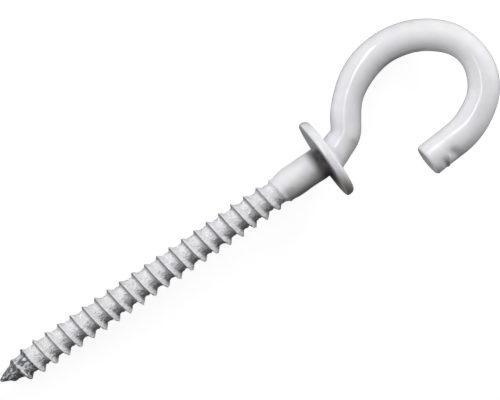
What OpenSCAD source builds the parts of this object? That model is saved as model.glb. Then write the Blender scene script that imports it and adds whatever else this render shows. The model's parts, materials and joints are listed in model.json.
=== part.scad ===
// Screw hook: one length of wire with a rolled wood-screw thread and gimlet
// point, a plain shank, an upset collar, and the end bent round into an open eye.
//
// The hook is drawn in its own screw frame: +X runs along the screw from the tip
// to the hook, with X = 0 at the underside of the collar, and the bends lie in
// the XY plane. The finished hook is then laid down the way it comes to rest on
// a flat surface, turned about the centre of the collar's underside: the tip
// points along +X and the crown of the hook touches down on the -Y side.

/* [Wire] */
// Diameter of the coated wire, in the plain shank and the hook
wire_d = 5.6; // [5.2:0.1:6.8]
// Length of the plain shank under the collar
shank_len = 7.0; // [5:0.5:12]
// Length of the cone from the plain shank down to the thread's blank
shoulder_len = 2.6; // [1:0.1:3.4]

/* [Thread] */
// Length from the tip to the underside of the collar
screw_len = 67.5; // [54:0.5:90]
// Diameter over the crests of the thread
crest_d = 5.5; // [5.2:0.05:6]
// Diameter at the root of the thread
root_d = 4.0; // [3.6:0.05:4.4]
// Diameter of the drawn-down blank between thread and shoulder
blank_d = 4.5; // [4.5:0.05:5]
// Distance from one crest to the next
pitch = 2.6; // [2.2:0.1:3.2]
// Width of the flat on the crest
crest_w = 0.24; // [0.15:0.01:0.4]
// Lean of the ridge's steeper flank, which faces the tip
tip_flank_angle = 28; // [24:1:32]
// Lean of the ridge's flank that faces the hook
hook_flank_angle = 40; // [32:1:40]
// Length of the smooth blank between the thread and the shoulder
blank_len = 0.8; // [0.6:0.1:3]
// Length over which the thread fades out into the blank
runout_len = 3.2; // [1.5:0.1:5]

/* [Point] */
// Length over which the root swells from the tip to its full diameter
point_len = 7; // [5:0.1:9]
// Diameter of the blunted tip
tip_d = 0.4; // [0.2:0.05:0.8]
// Distance from the tip at which the thread starts to rise
start_len = 0.6; // [0.6:0.1:2]
// Distance from the tip at which the thread reaches its full depth
full_len = 5.2; // [4.5:0.1:8]

/* [Collar] */
// Diameter of the collar
collar_d = 14.8; // [12:0.1:20]
// Thickness of the collar, which is also the diameter of its round rim
collar_t = 1.6; // [1.2:0.1:2]
// Radius of the coating in the corner between the shank and the collar
coat_fillet = 0.3; // [0.2:0.05:0.6]

/* [Hook] */
// Distance from the collar's underside to the start of the first bend
root_run = 0.5; // [0.3:0.1:1]
// Radius of the first bend, at the collar, to the middle of the wire
lead_r = 5.0; // [4.2:0.1:7]
// Angle of the first bend
lead_turn = 19; // [14:1:24]
// Straight wire between the first bend and the neck bend
lead_run = 2.7; // [2:0.1:4]
// Radius of the sharp neck bend
neck_r = 3.6; // [3.5:0.1:5]
// Angle of the neck bend
neck_turn = 39; // [32:1:46]
// Straight wire between the neck bend and the crown
neck_run = 1.3; // [0.5:0.1:3]
// Radius of the long bend over the crown of the hook
crown_r = 14.0; // [12:0.1:18]
// Angle of the crown
crown_turn = 99; // [92:1:105]
// Straight wire between the crown and the nose
crown_run = 0.4; // [0.3:0.1:3]
// Radius of the tighter bend at the nose, where a load hangs
nose_r = 8.7; // [7.5:0.1:11]
// Angle of the nose
nose_turn = 107; // [96:1:114]
// Straight wire between the nose and the returning bend
nose_run = 0.4; // [0.3:0.1:3]
// Radius of the bend that brings the wire back towards the collar
return_r = 13.9; // [12:0.1:20]
// Angle of the returning bend
return_turn = 28; // [20:1:36]
// Straight wire up to the cut end
tail_run = 6; // [4:0.1:8]
// Radius of the coating round the edge of the cut end
end_round = 0.5; // [0.3:0.05:0.8]

/* [Hidden] */
$fn = 64;

wire_r = wire_d / 2;
crest_r = crest_d / 2;
root_r = root_d / 2;
blank_r = blank_d / 2;
tip_r = tip_d / 2;
collar_rim_r = collar_t / 2;
collar_flat_r = collar_d / 2 - collar_rim_r;
coat_white = [0.92, 0.92, 0.93];

// Lengths along the screw, measured from the tip
shank_at = screw_len - shank_len;
blank_end_at = shank_at - shoulder_len;
runout_end_at = blank_end_at - blank_len;
runout_at = runout_end_at - runout_len;
// The thread ends inside the turned blank, which starts a little before it
thread_end_at = runout_end_at + blank_len / 2;

// How far neighbouring lengths of wire reach into each other, and how much
// thinner the inner one is, so that each ends inside the next
lap = 0.1;
lap_inset = 0.01;
// How much thinner the faceted thread is than the turned blank that it ends in
thread_inset = 0.03;

// Thread form: half the width of the crest, and how far the ridge's feet reach
// from its middle, towards the tip and towards the hook
crest_half = crest_w / 2;
tip_foot = crest_half + (crest_r - root_r) * tan(tip_flank_angle);
hook_foot = crest_half + (crest_r - root_r) * tan(hook_flank_angle);
// Facets round the thread, and the profile's knots across one pitch
thread_facets = 32;
// Each knot is its place along the screw and its share of the thread's depth
knots = [[-tip_foot, 0], [-crest_half, 1], [crest_half, 1], [hook_foot, 0]];
// Where the crest passes the hook's crown side, as a share of the pitch
crest_phase = 0.28;
turns = ceil(thread_end_at / pitch) + 2;

// Steps in a quarter of a rounded edge
round_steps = 6;

// The wire's bends from the collar: [straight before, radius, turn to the left]
bends = [
    [root_run, lead_r, lead_turn],
    [lead_run, neck_r, neck_turn],
    [neck_run, crown_r, -crown_turn],
    [crown_run, nose_r, -nose_turn],
    [nose_run, return_r, -return_turn],
    [tail_run, 0, 0],
];
crown = 2;

// ---- Route of the bent wire ----

function along(distance, heading) = distance * [cos(heading), sin(heading)];

// Heading of the wire as it comes to bend i
function heading(i) = i == 0 ? 0 : heading(i - 1) + bends[i - 1][2];

// Step from the wire to the centre of bend i, where the wire heads this way
function to_centre(i, heading) = along(bends[i][1], heading + 90 * sign(bends[i][2]));

// Where the straight before bend i starts, and where the bend does
function run_start(i) =
    i == 0 ? [0, 0] : bend_centre(i - 1) - to_centre(i - 1, heading(i));
function bend_start(i) = run_start(i) + along(bends[i][0], heading(i));

function bend_centre(i) = bend_start(i) + to_centre(i, heading(i));

// ---- How the hook lies ----
// It comes to rest on the collar's rim, the first full crest and the crown.

// Pitch: the screw dips from the collar's rim to the first full crest
rest_run = screw_len - full_len + collar_rim_r;
rest_drop = collar_flat_r - crest_r;
lie_pitch = atan(rest_drop / rest_run) + asin(collar_rim_r / norm([rest_run, rest_drop]));
dip = sin(lie_pitch);
// Roll: the hook then turns about the screw until the crown touches too
crown_at = bend_centre(crown);
crown_rise = dip * (crown_at[0] - collar_rim_r) + collar_flat_r * cos(lie_pitch)
    + collar_rim_r - wire_r;
roll_a = pow(crown_r, 2) - pow(crown_at[1], 2);
roll_b = crown_rise * crown_at[1];
roll_c = pow(crown_r * dip, 2) - pow(crown_rise, 2);
lie_roll = asin((sqrt(pow(roll_b, 2) - roll_a * roll_c) - roll_b) / roll_a / cos(lie_pitch));

// ---- Thread ----

// Share of the way from one place to another, kept between 0 and 1
function ramp(at, from, to) = min(1, max(0, (at - from) / (to - from)));

// Radius at the root: swells from the tip, and rises to the blank at the run-out
function core_radius(at) =
    tip_r + (root_r - tip_r) * (1 - pow(1 - ramp(at, 0, point_len), 2))
    + (blank_r - thread_inset - root_r) * ramp(at, runout_at, runout_end_at);

// Height of the ridge over the root: grows behind the tip, and fades at the run-out
function ridge_height(at) =
    ramp(at, start_len, full_len)
    * ((crest_r - root_r) * (1 - ramp(at, runout_at, runout_end_at)));

// One column of points at a given angle, from the tip to the end in the blank
function thread_column(angle) = [
    for (turn = [-2:turns], knot = knots)
        let (
            ridge_at = (turn + crest_phase + angle / 360) * pitch,
            at = min(thread_end_at, max(0, ridge_at + knot[0])),
            radius = core_radius(at) + ridge_height(at) * knot[1]
        )
        [at, radius * cos(angle), radius * sin(angle)]
];

// Right-handed thread with its core and gimlet point, from the tip at X = 0
module thread() {
    columns = [for (i = [0:thread_facets - 1]) thread_column(i * 360 / thread_facets)];
    points = [for (column = columns) each column];
    rows = len(columns[0]);
    last = rows - 1;
    // A whole turn on, the first column comes again one pitch further up
    function id(i, row) =
        i < thread_facets ? i * rows + row
        : min(row + len(knots), last);
    sides = [
        for (i = [0:thread_facets - 1], row = [0:last - 1])
            each [
                [id(i, row), id(i, row + 1), id(i + 1, row + 1)],
                [id(i, row), id(i + 1, row + 1), id(i + 1, row)],
            ]
    ];
    // Points held at either end coincide, and the triangles between them are left out
    open_sides = [
        for (side = sides)
            if (points[side[0]] != points[side[1]]
                && points[side[1]] != points[side[2]]
                && points[side[2]] != points[side[0]])
                side
    ];
    tip_face = [for (i = [0:thread_facets - 1]) id(i, 0)];
    end_face = [for (i = [thread_facets - 1:-1:0]) id(i, last)];
    polyhedron(points, concat(open_sides, [tip_face, end_face]));
}

// ---- Turned and bent wire ----

// Points of an arc, from one angle to another
function arc_points(centre, radius, from, to, steps = round_steps) = [
    for (i = [0:steps])
        let (angle = from + (to - from) * i / steps)
        centre + radius * [cos(angle), sin(angle)]
];

// A profile of [radius, place] points turned about the X axis
module turned(profile) {
    rotate([0, 90, 0])
        rotate_extrude()
            polygon(profile);
}

// Blank, shoulder, plain shank and collar, turned as one. A chamfer brings the
// blank out of the thread's core.
module shank_and_collar() {
    blank_start_at = thread_end_at - 2 * lap;
    fillet = arc_points([wire_r + coat_fillet, -coat_fillet], coat_fillet, 180, 90);
    rim = arc_points([collar_flat_r, collar_rim_r], collar_rim_r, -90, 90, 2 * round_steps);
    turned(concat(
        [
            [0, blank_start_at - screw_len],
            [blank_r - lap, blank_start_at - screw_len],
            [blank_r, blank_start_at + lap - screw_len],
            [blank_r, blank_end_at - screw_len],
            [wire_r, shank_at - screw_len],
        ],
        fillet,
        rim,
        [[0, collar_t]]
    ));
}

// Sets its children down in the plane of the hook, heading along the wire
module at_wire(place, heading) {
    translate([place[0], place[1], 0])
        rotate([0, 0, heading])
            children();
}

// Straight wire before bend i, reaching a little way into the bends at both ends
module run(i) {
    at_wire(run_start(i), heading(i))
        translate([-lap, 0, 0])
            rotate([0, 90, 0])
                cylinder(h = bends[i][0] + 2 * lap, r = wire_r - lap_inset);
}

module bend(i) {
    at_wire(bend_start(i), heading(i))
        mirror([0, bends[i][2] < 0 ? 1 : 0, 0])
            translate([0, bends[i][1], 0])
                rotate([0, 0, -90])
                    rotate_extrude(angle = abs(bends[i][2]))
                        translate([bends[i][1], 0])
                            circle(r = wire_r);
}

// Straight tail with the coating rounded over its cut end
module tail(i) {
    edge = arc_points([wire_r - lap_inset - end_round, tail_run - end_round], end_round, 0, 90);
    at_wire(run_start(i), heading(i))
        turned(concat([[0, -lap], [wire_r - lap_inset, -lap]], edge, [[0, tail_run]]));
}

module bent_hook() {
    tail_step = len(bends) - 1;
    bend(0);
    for (i = [1:tail_step - 1]) {
        run(i);
        bend(i);
    }
    tail(tail_step);
}

// The whole hook in its own screw frame
module upright_hook() {
    translate([-screw_len, 0, 0])
        thread();
    shank_and_collar();
    bent_hook();
}

module screw_hook() {
    color(coat_white)
        rotate([-lie_roll, -lie_pitch, 180])
            upright_hook();
}

screw_hook();
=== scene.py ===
"""A white coated screw hook, lying as it comes to rest on a plain pale floor.

The wire is skinned as one closed mesh: a rolled wood-screw thread with its gimlet
point, a plain shank, the upset collar and the bent hook. It is built in the screw's
own frame in millimetres, like the part: X runs from the tip to the hook with X = 0 at
the collar's underside, and the hook is bent in the XY plane.
"""

import json
import math
from types import SimpleNamespace

import bmesh
import bpy
from mathutils import Matrix, Vector, noise


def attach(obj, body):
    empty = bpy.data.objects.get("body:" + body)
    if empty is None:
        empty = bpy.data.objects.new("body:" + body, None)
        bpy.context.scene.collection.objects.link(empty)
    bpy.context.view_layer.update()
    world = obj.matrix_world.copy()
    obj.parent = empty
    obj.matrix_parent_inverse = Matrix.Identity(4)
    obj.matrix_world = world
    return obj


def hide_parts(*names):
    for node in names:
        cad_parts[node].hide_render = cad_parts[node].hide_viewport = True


MM = 0.001

# Wire and thread, with the coating on them
SCREW_LEN = 67.5
SHANK_LEN = 7.0
SHOULDER_LEN = 3.4
SHOULDER_ROUND = 0.6
WIRE_R = 2.8
CREST_R = 2.79
ROOT_R = 2.04
PITCH = 2.6
CREST_PHASE = 0.3
RUNOUT_LEN = 5.5
RUNOUT_GAP = 0.5
TIP_R = 0.2
POINT_LEN = 7.0
START_LEN = 0.2
FULL_LEN = 4.2
# Half the ridge's rounded crest, and how far its feet reach towards tip and hook
CREST_HALF = 0.11
TIP_FOOT = 0.42
HOOK_FOOT = 0.8
# How softly the coating fills the corner at the foot
FOOT_EASE = 0.12
# The dies rolled the ridge deeper on the side away from the crown
RIDGE_OFF_CENTRE = 0.17

# Collar, with the coating's fillets below and above it
COLLAR_R = 7.4
COLLAR_T = 1.6
FILLET_BELOW = 0.3
FILLET_ABOVE = 0.8
# Its rim is squarer on the side away from the hook
EDGE_BELOW = 0.35
EDGE_ABOVE = 0.85
# The collar sits askew: how far its faces run along the screw, per millimetre to the
# left of the screw and per millimetre up from the plane of the hook; and how far on
COLLAR_LEAN = (-0.012, 0.15)
COLLAR_SHIFT = 0.1
# How far beyond its fillets the wire takes to run true again
LEAN_FADE = 2.2

# Bends of the wire from the collar: straight before, radius, turn in degrees
BENDS = [
    (1.1, 5.0, 19),
    (2.1, 3.6, 39),
    (1.3, 14.0, -99),
    (0.4, 8.7, -107),
    (0.4, 13.9, -28),
    (6.0, 0.0, 0),
]
END_ROUND = 0.5
# The end was cut on a slant: set back by this much per millimetre up from the middle
CUT_SLANT = 0.19
CUT_SLANT_LEN = 3.0
# Where the bending tool pressed the wire: distance from the collar, spread, depth
PRESSED = [(6.0, 3.0, 0.16), (12.5, 3.0, 0.22), (39.0, 4.5, 0.24)]
# A knock near the cut end: a burr across the wire with a dent on each side of it.
# Each place is the distance back from the end and the way round from the outer side.
BURR = {"from": (2.4, 0.0), "to": (3.9, 3.2), "height": 0.2, "width": 0.15}
DENTS = [
    {"at": (2.4, 1.9), "spread": (0.7, 1.3), "depth": 0.2},
    {"at": (4.7, 2.5), "spread": (0.9, 1.2), "depth": 0.38},
]
KNOCKED_LEN = 7.5
# How the dipped coating lies on each stretch: size of its lumps or drops, and height
SHANK_LUMPS = (1.7, 0.09)
THREAD_LUMPS = (0.9, 0.08)
HOOK_LUMPS = (5.0, 0.05)
THREAD_DROPS = (0.42, 0.36)
# Only the noise above this stands out as a drop
DROP_LEVEL = 0.15
# The tip's thread is clean: its lumps grow between these distances from the tip
LUMPS_GROW = (2.0, 8.0)
LUMPS_FADE = 3.0
# A smudge on the side of the neck, with y and z drawn in as the smudge is long that way
SMUDGE_AT = (6.4, -0.25, 0.32)
# The wire is a little thicker over its last stretch
TAIL_SWELL = 0.08
TAIL_SWELL_AT = 48.0
TAIL_SWELL_LEN = 6.0

# Colours of the coat, of what lies on it, of the shade painted on it, and of the steel under it
WHITE_TINT = (0.97, 0.97, 1.0, 1)
THIN_COAT = (0.5, 0.52, 0.56, 1)
# Painted shade, with a little dirt, in the corner at the foot of each ridge's tip-side flank
FOOT_SHADE_AND_GRIME = (0.2, 0.19, 0.18, 1)
# Painted shade on each ridge's flank that faces the tip
TIP_FLANK_SHADE = (0.12, 0.12, 0.125, 1)
# Painted shadow, with some grime, in the corner under the collar
COLLAR_SHADOW_AND_GRIME = (0.02, 0.019, 0.018, 1)
# Darker brown-grey for the collar's rim, on the side of the hook's mouth
RIM_DARK_BROWN = (0.3, 0.265, 0.24, 1)
SMUDGE_BROWN = (0.42, 0.39, 0.32, 1)
# Painted shade, with a little dirt, on the screw's lower side
UNDERSIDE_SHADE_AND_DIRT = (0.28, 0.247, 0.222, 1)
DARK_STEEL = (0.16, 0.172, 0.18, 1)
BRIGHT_STEEL = (0.76, 0.78, 0.8, 1)
# Height of the finest relief, in metres
BUMP_HEIGHT = 0.00005

# Mesh: points round the wire, rows along a pitch of thread and how they crowd towards
# its crest, and spacing of rows elsewhere
COLUMNS = 108
THREAD_ROWS = 22
ROWS_CROWD = 0.1
ROW_STEP = 0.4
FINE_STEP = 0.12
ARC_ROWS = 8


# ---- The wire's route ----


def route(distance):
    """Centre (x, y) and heading, in radians, this far along the wire from the collar."""
    x, y, heading = 0.0, 0.0, 0.0
    for straight, radius, turn in BENDS:
        step = min(distance, straight)
        x += step * math.cos(heading)
        y += step * math.sin(heading)
        distance -= step
        if distance <= 0 or not turn:
            break
        side = math.copysign(1, turn)
        step = min(distance, radius * math.radians(abs(turn)))
        swing = side * step / radius
        x += side * radius * (math.sin(heading + swing) - math.sin(heading))
        y += side * radius * (math.cos(heading) - math.cos(heading + swing))
        heading += swing
        distance -= step
        if distance <= 0:
            break
    return x, y, heading


def hook_length():
    """Length of the wire from the collar's underside to the cut end."""
    return sum(straight + radius * math.radians(abs(turn)) for straight, radius, turn in BENDS)


# ---- Sections ----


def ramp(at, start, end):
    """Rises evenly from 0 at the start to 1 at the end."""
    return min(1.0, max(0.0, (at - start) / (end - start)))


def smooth(at, start, end):
    """Eases from 0 at the start to 1 at the end."""
    share = ramp(at, start, end)
    return share * share * (3 - 2 * share)


SHANK_AT = SCREW_LEN - SHANK_LEN
RUNOUT_END = SHANK_AT - RUNOUT_GAP
RUNOUT_AT = RUNOUT_END - RUNOUT_LEN


def core_radius(from_tip):
    """Root of the thread, swelling from the tip, then the long shoulder to the shank."""
    point = 1 - (1 - ramp(from_tip, 0, POINT_LEN)) ** 2
    return (
        TIP_R
        + (ROOT_R - TIP_R) * point
        + (WIRE_R - ROOT_R) * smooth(from_tip, SHANK_AT - SHOULDER_LEN, SHANK_AT + SHOULDER_ROUND)
    )


def ridge_height(from_tip, angle):
    """The crest over the root: grown behind the tip, and faded at the run-out."""
    grown = ramp(from_tip, START_LEN, FULL_LEN) ** 1.5
    faded = ramp(from_tip, RUNOUT_AT, RUNOUT_END)
    return (CREST_R - ROOT_R - RIDGE_OFF_CENTRE * math.cos(angle)) * grown * (1 - faded**2)


def ridge_section(off_crest):
    """Straight flanks with a rounded crest and eased feet: 1 on the crest, 0 at the root."""
    foot = TIP_FOOT if off_crest < 0 else HOOK_FOOT
    flank = (foot - math.hypot(off_crest, CREST_HALF)) / (foot - CREST_HALF)
    return (flank + math.hypot(flank, FOOT_EASE)) / (1 + math.hypot(1, FOOT_EASE))


def coat_lumps(place, size, height):
    """Uneven thickness of the dipped coating at a place in the screw's frame."""
    return height * noise.noise(place / size)


def coat_drops(place, size, height):
    """Drops of coating that stand out of the smoother skin."""
    return height * max(0.0, noise.noise(place / size) - DROP_LEVEL)


def pinch(distance):
    """How far the wire's sides are pressed in, in the plane of the hook."""
    return sum(
        depth * math.exp(-(((distance - centre) / spread) ** 2))
        for centre, spread, depth in PRESSED
    )


def knock(from_end, round_from_outer):
    """The burr and dents near the cut end, as a change of radius."""
    (start, low), (stop, high) = BURR["from"], BURR["to"]
    share = (round_from_outer - low) / (high - low)
    off_line = from_end - start - (stop - start) * share
    grown = smooth(share, -0.15, 0.05) * smooth(share, 1.1, 0.8)
    change = BURR["height"] * grown * math.exp(-((off_line / BURR["width"]) ** 2))
    for dent in DENTS:
        off = (from_end - dent["at"][0]) / dent["spread"][0]
        off_round = (round_from_outer - dent["at"][1]) / dent["spread"][1]
        change -= dent["depth"] * math.exp(-(off**2) - off_round**2)
    return change


# ---- The skin ----


def ring(x, y, heading, radii):
    """Points round the wire's centre, one for each radius, starting on the left side."""
    across = Vector((-math.sin(heading), math.cos(heading), 0))
    up = Vector((0, 0, 1))
    centre = Vector((x, y, 0))
    turn = 2 * math.pi / COLUMNS
    return [
        centre + radius * (math.cos(i * turn) * across + math.sin(i * turn) * up)
        for i, radius in enumerate(radii)
    ]


def turned_ring(x, radius):
    """A round ring on the screw's axis, leaning with the collar where it is near it."""
    return askew(ring(x, 0, 0, [radius] * COLUMNS), x)


def askew(points, along):
    """Leans the collar, and the wire just beside it, out of square with the screw."""
    top = COLLAR_T + FILLET_ABOVE
    share = smooth(along, -FILLET_BELOW - LEAN_FADE, -FILLET_BELOW)
    share *= smooth(along, top + LEAN_FADE, top)
    for point in points:
        lean = COLLAR_LEAN[0] * point.y + COLLAR_LEAN[1] * point.z
        point.x += share * (lean + COLLAR_SHIFT)
    return points


def thread_columns(end_at):
    """Columns of points whose rows follow the helix, from the tip to end_at."""
    turns = math.ceil(end_at / PITCH) + 2
    offsets = []
    for k in range(THREAD_ROWS):
        share = k / THREAD_ROWS - 0.5
        offsets.append(PITCH * (share - ROWS_CROWD * math.sin(2 * math.pi * share)))
    columns = []
    for i in range(COLUMNS):
        angle = 2 * math.pi * i / COLUMNS
        column = []
        for t in range(-2, turns):
            crest_at = (t + CREST_PHASE + i / COLUMNS) * PITCH
            for offset in offsets:
                at = min(end_at, max(0.0, crest_at + offset))
                radius = core_radius(at) + ridge_height(at, angle) * ridge_section(offset)
                place = Vector((at, radius * math.cos(angle), radius * math.sin(angle)))
                lumpy = ramp(at, *LUMPS_GROW) * ramp(at, end_at, end_at - LUMPS_FADE)
                radius += lumpy * coat_lumps(place, *THREAD_LUMPS)
                radius += lumpy * coat_drops(place, *THREAD_DROPS)
                column.append(
                    Vector((at - SCREW_LEN, radius * math.cos(angle), radius * math.sin(angle)))
                )
        columns.append(column)
    return columns


def quarter():
    """Sine and cosine along a quarter turn, in even steps."""
    angles = [math.pi / 2 * k / ARC_ROWS for k in range(ARC_ROWS + 1)]
    return [(math.sin(a), math.cos(a)) for a in angles]


def collar_rings():
    """Fillet, flat underside, round rim, flat top and the fillet up to the wire."""
    rings = []
    for sine, cosine in quarter():
        rings.append(
            turned_ring(FILLET_BELOW * (sine - 1), WIRE_R + FILLET_BELOW * (1 - cosine))
        )
    rings.append(turned_ring(0, (WIRE_R + COLLAR_R) / 2))
    for sine, cosine in quarter():
        rings.append(turned_ring(EDGE_BELOW * (1 - cosine), COLLAR_R - EDGE_BELOW * (1 - sine)))
    for sine, cosine in quarter():
        rings.append(
            turned_ring(COLLAR_T - EDGE_ABOVE * (1 - sine), COLLAR_R - EDGE_ABOVE * (1 - cosine))
        )
    rings.append(turned_ring(COLLAR_T, (WIRE_R + FILLET_ABOVE + COLLAR_R) / 2))
    # The upper fillet goes over from the screw's axis to the bent wire's
    for sine, cosine in quarter():
        along = COLLAR_T + FILLET_ABOVE * (1 - cosine)
        radii = [WIRE_R + FILLET_ABOVE * (1 - sine)] * COLUMNS
        x, y, heading = route(along)
        bent = ring(along + sine * (x - along), sine * y, sine * heading, radii)
        rings.append(askew(bent, along))
    return rings


def hook_rings():
    """The bent wire above the collar, up to its rounded cut end."""
    length = hook_length()
    start = COLLAR_T + FILLET_ABOVE
    fine_at = length - KNOCKED_LEN
    rings = []
    for low, high, step in ((start, fine_at, ROW_STEP), (fine_at, length - END_ROUND, FINE_STEP)):
        steps = math.ceil((high - low) / step)
        for k in range(1, steps + 1):
            rings.append(wire_ring(low + (high - low) * k / steps, 0.0))
    for sine, cosine in quarter()[1:]:
        rings.append(wire_ring(length - END_ROUND * (1 - sine), END_ROUND * (1 - cosine)))
    for share in (0.66, 0.33):
        x, y, heading = route(length)
        radius = share * (WIRE_R - END_ROUND)
        rings.append(slanted(ring(x, y, heading, [radius] * COLUMNS), heading, 1))
    return rings


def wire_ring(distance, inset):
    """Points round the bent wire, this far along it and this far inside its skin."""
    x, y, heading = route(distance)
    pressed = pinch(distance)
    swell = TAIL_SWELL * smooth(distance, TAIL_SWELL_AT, TAIL_SWELL_AT + TAIL_SWELL_LEN)
    from_end = hook_length() - distance
    radii = []
    for i in range(COLUMNS):
        angle = 2 * math.pi * i / COLUMNS
        place = Vector((distance, 3 * math.cos(angle), 3 * math.sin(angle)))
        radius = WIRE_R - inset + swell - pressed * math.cos(angle) ** 2
        radius += coat_lumps(place, *HOOK_LUMPS)
        if from_end < KNOCKED_LEN:
            around = angle if angle < math.pi else angle - 2 * math.pi
            radius += knock(from_end, WIRE_R * around)
        radii.append(radius)
    points = askew(ring(x, y, heading, radii), distance)
    return slanted(points, heading, smooth(from_end, CUT_SLANT_LEN, END_ROUND))


def slanted(points, heading, share):
    """Sets the upper side of the cut end back along the wire."""
    forward = Vector((math.cos(heading), math.sin(heading), 0))
    return [point - share * CUT_SLANT * point.z * forward for point in points]


def skin_wire(to_row):
    """The whole hook as one closed mesh object, set down in the row frame."""
    columns = thread_columns(SHANK_AT)
    rows = len(columns[0])
    points = [point for column in columns for point in column]
    faces = []

    def thread_id(i, row):
        if i < COLUMNS:
            return i * rows + row
        return min(row + THREAD_ROWS, rows - 1)

    for i in range(COLUMNS):
        for row in range(rows - 1):
            faces.append(
                (
                    thread_id(i, row),
                    thread_id(i + 1, row),
                    thread_id(i + 1, row + 1),
                    thread_id(i, row + 1),
                )
            )

    shank = []
    shank_start = -SHANK_LEN
    shank_end = -FILLET_BELOW
    steps = math.ceil((shank_end - shank_start) / ROW_STEP)
    for k in range(1, steps):
        x = shank_start + (shank_end - shank_start) * k / steps
        lumpy = smooth(k, 0, 4) * smooth(k, steps, steps - 4)
        radii = []
        for i in range(COLUMNS):
            angle = 2 * math.pi * i / COLUMNS
            place = Vector((x, WIRE_R * math.cos(angle), WIRE_R * math.sin(angle)))
            radius = core_radius(x + SCREW_LEN)
            radii.append(radius + lumpy * coat_lumps(place, *SHANK_LUMPS))
        shank.append(askew(ring(x, 0, 0, radii), x))
    rings = shank + collar_rings() + hook_rings()

    previous = [thread_id(i, rows - 1) for i in range(COLUMNS)]
    for each in rings:
        start = len(points)
        points.extend(each)
        current = list(range(start, start + COLUMNS))
        for i in range(COLUMNS):
            j = (i + 1) % COLUMNS
            faces.append((previous[i], previous[j], current[j], current[i]))
        previous = current
    x, y, _ = route(hook_length())
    points.append(Vector((x, y, 0)))
    centre = len(points) - 1
    faces.extend((previous[i], previous[(i + 1) % COLUMNS], centre) for i in range(COLUMNS))
    points.append(Vector((-SCREW_LEN, 0, 0)))
    tip = len(points) - 1
    faces.extend(
        (thread_id((i + 1) % COLUMNS, 0), thread_id(i, 0), tip) for i in range(COLUMNS)
    )

    mesh = bpy.data.meshes.new("screw_hook_skin")
    mesh.from_pydata([to_row @ (point * MM) for point in points], [], faces)
    tidy = bmesh.new()
    tidy.from_mesh(mesh)
    bmesh.ops.remove_doubles(tidy, verts=tidy.verts, dist=1e-7)
    bmesh.ops.dissolve_degenerate(tidy, edges=tidy.edges, dist=1e-7)
    bmesh.ops.recalc_face_normals(tidy, faces=tidy.faces)
    for face in tidy.faces:
        face.smooth = True
    tidy.to_mesh(mesh)
    tidy.free()
    piece = bpy.data.objects.new("screw_hook_skin", mesh)
    bpy.context.scene.collection.objects.link(piece)
    return piece


# ---- Materials ----


def new_material(name):
    material = bpy.data.materials.new(name)
    material.use_nodes = True
    tree = material.node_tree
    return material, tree, tree.nodes["Principled BSDF"]


def add(tree, kind, settings, inputs, output=0):
    """One output of a new node. An input is a value, or another node's output."""
    node = tree.nodes.new("ShaderNode" + kind)
    for name, value in settings.items():
        setattr(node, name, value)
    for key, value in inputs.items():
        if isinstance(value, bpy.types.NodeSocket):
            tree.links.new(value, node.inputs[key])
        else:
            node.inputs[key].default_value = value
    return node.outputs[output]


def calc(tree, operation, *values):
    return add(tree, "Math", {"operation": operation}, dict(enumerate(values)))


def product(tree, value, *factors):
    for factor in factors:
        value = calc(tree, "MULTIPLY", value, factor)
    return value


def weighed(tree, base, *parts):
    """The base plus each part's value times its weight."""
    for value, weight in parts:
        base = calc(tree, "MULTIPLY_ADD", value, weight, base)
    return base


def band(tree, value, start, end, low=0.0, high=1.0):
    """Eases from low, where the value is start, to high, where it is end."""
    return add(
        tree,
        "MapRange",
        {"interpolation_type": "SMOOTHSTEP"},
        {"Value": value, "From Min": start, "From Max": end, "To Min": low, "To Max": high},
    )


def window(tree, value, rise, fall, most=1.0):
    """Eases from 0 to most over the rise, and back to 0 over the fall."""
    return product(tree, band(tree, value, *rise), band(tree, value, *fall, most, 0.0))


def cloud(tree, place, scale, detail=2.0, roughness=0.5):
    """Noise about 0.5, with this many lumps to a unit of place."""
    return add(
        tree,
        "TexNoise",
        {},
        {"Vector": place, "Scale": scale, "Detail": detail, "Roughness": roughness},
    )


def blend(tree, share, first, second):
    """Colour between the first and the second, by the share."""
    return add(
        tree,
        "Mix",
        {"data_type": "RGBA"},
        {"Factor": share, 6: first, 7: second},
        output=2,
    )


def stretched(tree, place, scale):
    return add(tree, "VectorMath", {"operation": "MULTIPLY"}, {0: place, 1: scale})


def screw_places(tree, to_row):
    """Where a point lies on the screw, and the noise there: what the coat goes by."""
    at = SimpleNamespace()
    # The screw's own millimetres, as the skin was built
    at.place = add(
        tree,
        "Mapping",
        {},
        {
            "Vector": add(tree, "TexCoord", {}, {}, output="Object"),
            "Rotation": to_row.transposed().to_euler(),
            "Scale": (1 / MM, 1 / MM, 1 / MM),
        },
    )
    at.x, at.y, at.z = (
        add(tree, "SeparateXYZ", {}, {"Vector": at.place}, output=i) for i in range(3)
    )
    at.from_tip = calc(tree, "ADD", at.x, SCREW_LEN)
    at.on_thread = band(tree, at.from_tip, RUNOUT_AT, RUNOUT_END, 1.0, 0.0)

    # Distance along the screw from the nearest crest of the helix
    turned = calc(tree, "DIVIDE", calc(tree, "ARCTAN2", at.z, at.y), 2 * math.pi)
    passed = calc(tree, "SUBTRACT", calc(tree, "DIVIDE", at.from_tip, PITCH), turned)
    phase = calc(tree, "FRACT", calc(tree, "ADD", passed, 0.5 - CREST_PHASE))
    at.off_crest = product(tree, calc(tree, "SUBTRACT", phase, 0.5), PITCH)

    # Distance above the leaning collar's underside
    lean = weighed(tree, COLLAR_SHIFT, (at.y, COLLAR_LEAN[0]), (at.z, COLLAR_LEAN[1]))
    at.from_collar = calc(tree, "SUBTRACT", at.x, lean)

    at.blotches = cloud(tree, at.place, 0.5, 3.0)
    at.scratches = cloud(tree, stretched(tree, at.place, (0.3, 1, 1)), 2.8, 3.0, 0.6)
    at.uneven = product(tree, calc(tree, "SUBTRACT", at.blotches, 0.5), 5.0)
    return at


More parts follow.
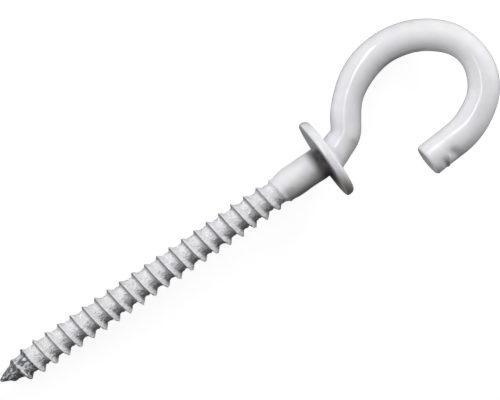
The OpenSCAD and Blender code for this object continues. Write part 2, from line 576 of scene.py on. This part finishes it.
def wear(tree, at):
    """How bare the steel is, and how thick the coat: little is left at the tip."""
    # Less is left on the flank that bites, and more on the first ridge's other flank
    bite = window(tree, at.off_crest, (-TIP_FOOT - 0.2, -TIP_FOOT + 0.1), (0.02, 0.2))
    bitten = product(tree, bite, band(tree, at.from_tip, 6.0, 9.0, 4.0, 0.0))
    kept = window(tree, at.off_crest, (-0.02, 0.12), (0.3, 1.1), 1.8)
    reach = calc(tree, "ADD", at.from_tip, at.uneven)
    reach = calc(tree, "SUBTRACT", reach, bitten)
    reach = calc(tree, "ADD", reach, kept)
    flecked = product(tree, calc(tree, "SUBTRACT", at.scratches, 0.5), 18.0)
    bare = band(tree, calc(tree, "ADD", reach, flecked), 4.3, 5.9, 1.0, 0.0)
    thick = band(tree, weighed(tree, reach, (flecked, 0.3)), 2.2, 7.6)
    return bare, thick


def whiteness(tree, at):
    """The coat's own colour, a little brighter on the thread."""
    shade = weighed(tree, 0.77, (at.blotches, 0.12), (at.on_thread, 0.08))
    white = add(tree, "CombineColor", {}, {"Red": shade, "Green": shade, "Blue": shade})
    return add(
        tree,
        "Mix",
        {"data_type": "RGBA", "blend_type": "MULTIPLY"},
        {"Factor": 1.0, 6: white, 7: WHITE_TINT},
        output=2,
    )


def collar_shadow_and_grime(tree, at):
    """Painted shadow, with some grime, in the corner under the collar, mostly on the side of the
    hook's mouth.
    """
    off_axis = calc(tree, "MULTIPLY_ADD", at.y, at.y, product(tree, at.z, at.z))
    off_axis = calc(tree, "SQRT", off_axis)
    return product(
        tree,
        window(tree, at.from_collar, (-2.9, -0.9), (0.02, 0.2)),
        band(tree, off_axis, 3.4, 7.6, 1.0, 0.4),
        band(tree, at.y, 4.5, 1.4),
        band(tree, at.blotches, 0.3, 0.5, 0.93, 1.0),
    )


def soiled_and_shaded(tree, at, coat, under):
    """The coat's colour with the dirt on it and the shade painted into it, from the thread to the
    neck.
    """
    # How far along the thread the painted shade reaches: it grows in from 6 to 13 mm behind the
    # tip
    shaded_stretch = product(tree, at.on_thread, band(tree, at.from_tip, 6.0, 13.0))
    # Painted shade, with a little dirt, in the corner at the foot of each ridge's flank that
    # faces the tip
    foot_shade_and_grime = window(tree, at.off_crest, (-TIP_FOOT - 0.35, -TIP_FOOT + 0.05), (-0.3, -0.1))
    coat = blend(tree, product(tree, foot_shade_and_grime, shaded_stretch, 0.4), coat, FOOT_SHADE_AND_GRIME)
    # Painted shade on each ridge's flank that faces the tip, up to its crest
    flank_shade = window(tree, at.off_crest, (-0.42, -0.16), (-0.05, 0.04), 0.8)
    coat = blend(tree, product(tree, flank_shade, at.on_thread), coat, TIP_FLANK_SHADE)
    # Painted shadow, with some grime, in the corner under the collar
    coat = blend(tree, product(tree, under, 0.98), coat, COLLAR_SHADOW_AND_GRIME)
    # The collar's rim is darker and browner on the side of the hook's mouth
    rim_darkened = product(
        tree,
        window(tree, at.from_collar, (-0.1, 0.1), (1.4, 2.0)),
        band(tree, at.y, -3.0, -7.0),
        0.85,
    )
    coat = blend(tree, rim_darkened, coat, RIM_DARK_BROWN)

    to_smudge = add(
        tree,
        "VectorMath",
        {"operation": "DISTANCE"},
        {0: stretched(tree, at.place, (1, 0.7, 0.2)), 1: SMUDGE_AT},
        output=1,
    )
    smudge = band(tree, weighed(tree, to_smudge, (at.uneven, 0.25)), 0.0, 1.1, 0.4, 0.0)
    coat = blend(tree, smudge, coat, SMUDGE_BROWN)

    # Painted shade, with a little dirt, darkens the screw's lower side, in the roots and along
    # the shank
    roots = calc(
        tree,
        "MAXIMUM",
        band(tree, at.off_crest, HOOK_FOOT - 0.35, HOOK_FOOT + 0.1),
        band(tree, at.off_crest, -TIP_FOOT + 0.2, -TIP_FOOT - 0.1),
    )
    plain = product(
        tree,
        band(tree, at.x, -9.0, -7.6),
        band(tree, at.from_collar, -0.1, 0.1, 1.0, 0.0),
        0.8,
    )
    shaded_parts = calc(tree, "MAXIMUM", product(tree, roots, shaded_stretch), plain)
    lower = weighed(tree, at.y, (at.uneven, 0.44))
    underside_shade = product(tree, shaded_parts, band(tree, lower, 0.0, -1.5, 0.0, 0.42))
    return blend(tree, underside_shade, coat, UNDERSIDE_SHADE_AND_DIRT)


def coated_steel(to_row):
    """White stoved coat, worn thin and then to bare steel over the first few threads."""
    material, tree, shader = new_material("white_coated_steel")
    at = screw_places(tree, to_row)
    bare, thick = wear(tree, at)
    # Where shadow is painted, with some grime, under the collar
    under = collar_shadow_and_grime(tree, at)
    coat = soiled_and_shaded(tree, at, blend(tree, thick, THIN_COAT, whiteness(tree, at)), under)
    steel = blend(tree, band(tree, at.scratches, 0.48, 0.64), DARK_STEEL, BRIGHT_STEEL)
    tree.links.new(blend(tree, bare, coat, steel), shader.inputs["Base Color"])
    tree.links.new(product(tree, bare, 0.35), shader.inputs["Metallic"])

    # Gloss: fair on the hook, less on its outer half, duller on the thread and bare steel
    gloss = weighed(tree, 0.08, (at.blotches, 0.08), (bare, 0.12), (under, 0.5))
    gloss = calc(tree, "ADD", gloss, band(tree, at.y, 0.0, -10.0, 0.0, 0.04))
    gloss = calc(tree, "ADD", gloss, band(tree, at.x, -2.0, 0.0, 0.26, 0.0))
    tree.links.new(gloss, shader.inputs["Roughness"])

    # Relief: orange peel all over, coarse coat on the thread, scratches on the steel
    relief = weighed(
        tree,
        product(tree, at.scratches, bare),
        (cloud(tree, at.place, 1.1, 1.0), 0.12),
        (product(tree, cloud(tree, at.place, 3.2, 2.0), at.on_thread), 5.8),
    )
    normal = add(tree, "Bump", {}, {"Height": relief, "Strength": 1.0, "Distance": BUMP_HEIGHT})
    tree.links.new(normal, shader.inputs["Normal"])
    return material


# ---- Stage ----

# The view: square to the plane of the hook, tipped a little towards the hook, with the
# screw rising to the right
VIEW_TIP = math.radians(-4.5)
VIEW_RISE = math.radians(34.38)
VIEW_FROM = 0.9
# The hook sits this much below the middle of the picture, as a share of its width
FRAME_SHIFT = 0.0005
# Even light from all round, and the softboxes' distances
AMBIENT = 0.075
PANEL_FROM = 0.6
STRIP_FROM = 1.0


def floor(height):
    """A plain pale floor that glows evenly, and lends the hook none of its light."""
    bpy.ops.mesh.primitive_plane_add(size=3, location=(0, 0, height))
    plane = bpy.context.object
    plane.name = "floor"
    material, tree, shader = new_material("pale_floor")
    shader.inputs["Base Color"].default_value = (0.4, 0.4, 0.4, 1)
    shader.inputs["Roughness"].default_value = 0.9
    shader.inputs["Emission Color"].default_value = (1, 1, 1, 1)
    shader.inputs["Emission Strength"].default_value = 0.85
    plane.data.materials.append(material)
    plane.visible_diffuse = False
    plane.visible_glossy = False


def softbox(name, toward, long_way, distance, size, power):
    """An area light facing the hook from this direction, its length along long_way."""
    light = bpy.data.lights.new(name, "AREA")
    light.shape = "RECTANGLE"
    light.size, light.size_y = size
    light.energy = power
    lamp = bpy.data.objects.new(name, light)
    back = toward.normalized()
    across = back.cross(long_way).normalized()
    facing = Matrix((across.cross(back), across, back)).transposed().to_4x4()
    lamp.matrix_world = Matrix.Translation(back * distance) @ facing
    bpy.context.scene.collection.objects.link(lamp)
    return lamp


def surroundings(strength):
    """A little even light from all round."""
    world = bpy.data.worlds.new("studio")
    bpy.context.scene.world = world
    world.use_nodes = True
    background = world.node_tree.nodes["Background"]
    background.inputs["Color"].default_value = (1, 1, 1, 1)
    background.inputs["Strength"].default_value = strength


def camera(points, toward, right, distance):
    """A long lens looking at the hook so that it fills the picture's width."""
    up = toward.cross(right)
    data = bpy.data.cameras.new("camera")
    eye = bpy.data.objects.new("camera", data)
    bpy.context.scene.collection.objects.link(eye)
    bpy.context.scene.camera = eye
    data.sensor_width = 36
    aim = Vector((0, 0, 0))
    for _ in range(4):
        spans = []
        for axis in (right, up):
            seen = [(p - aim).dot(axis) / (distance - (p - aim).dot(toward)) for p in points]
            spans.append((min(seen), max(seen)))
        for axis, (low, high) in zip((right, up), spans):
            aim += axis * (low + high) / 2 * distance
    data.lens = data.sensor_width / (spans[0][1] - spans[0][0])
    data.shift_y = FRAME_SHIFT
    data.clip_end = 10
    facing = Matrix((right, up, toward)).transposed().to_4x4()
    eye.matrix_world = Matrix.Translation(aim + toward * distance) @ facing


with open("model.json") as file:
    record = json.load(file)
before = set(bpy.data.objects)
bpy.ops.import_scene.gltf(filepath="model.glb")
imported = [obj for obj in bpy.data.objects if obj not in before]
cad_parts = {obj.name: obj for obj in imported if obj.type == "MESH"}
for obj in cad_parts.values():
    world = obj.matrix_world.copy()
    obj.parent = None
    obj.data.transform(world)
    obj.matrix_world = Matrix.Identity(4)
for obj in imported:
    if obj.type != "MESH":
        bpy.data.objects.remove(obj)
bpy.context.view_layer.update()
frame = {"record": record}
mounts = {m["name"]: m for m in frame["record"]["mounts"]}

# The screw's own axes in the row frame, from its mounts
screw_x = -Vector(mounts["collar_seat"]["axis"]).normalized()
mouth = Vector(mounts["hook_mouth"]["pos_m"])
screw_y = -(mouth - mouth.dot(screw_x) * screw_x).normalized()
screw_z = screw_x.cross(screw_y)
to_row = Matrix((screw_x, screw_y, screw_z)).transposed()

hook = skin_wire(to_row)
hook.data.materials.append(coated_steel(to_row))
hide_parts("screw_hook")
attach(hook, "root")

floor(min(vertex.co.z for vertex in hook.data.vertices))

toward_camera = math.cos(VIEW_TIP) * screw_z - math.sin(VIEW_TIP) * screw_x
level = math.sin(VIEW_TIP) * screw_z + math.cos(VIEW_TIP) * screw_x
picture_right = math.cos(VIEW_RISE) * level - math.sin(VIEW_RISE) * screw_y
camera([v.co.copy() for v in hook.data.vertices], toward_camera, picture_right, VIEW_FROM)
picture_up = toward_camera.cross(picture_right)


def in_picture(right, up, toward):
    """A direction given by the picture's own axes."""
    return right * picture_right + up * picture_up + toward * toward_camera


surroundings(AMBIENT)
# Broad panels shape the hook, and don't show in its gloss
for name, toward, size, power in (
    ("key", in_picture(0.03, 0.72, 0.7), (0.9, 0.3), 3.5),
    ("left", in_picture(-0.98, -0.18, 0.13), (0.5, 0.4), 3.8),
    ("right", in_picture(0.95, 0.33, 0.1), (0.3, 0.3), 1.95),
):
    panel = softbox(name, toward, in_picture(1, 0, 0.3), PANEL_FROM, size, power)
    panel.visible_glossy = False
# A long narrow strip draws the bright line along the wire
strip_way = in_picture(-0.35, 0.78, -0.39)
softbox("strip", in_picture(-0.37, 0.2, 0.76), strip_way, STRIP_FROM, (0.95, 0.08), 2.6)

bpy.context.scene.view_settings.view_transform = "Standard"
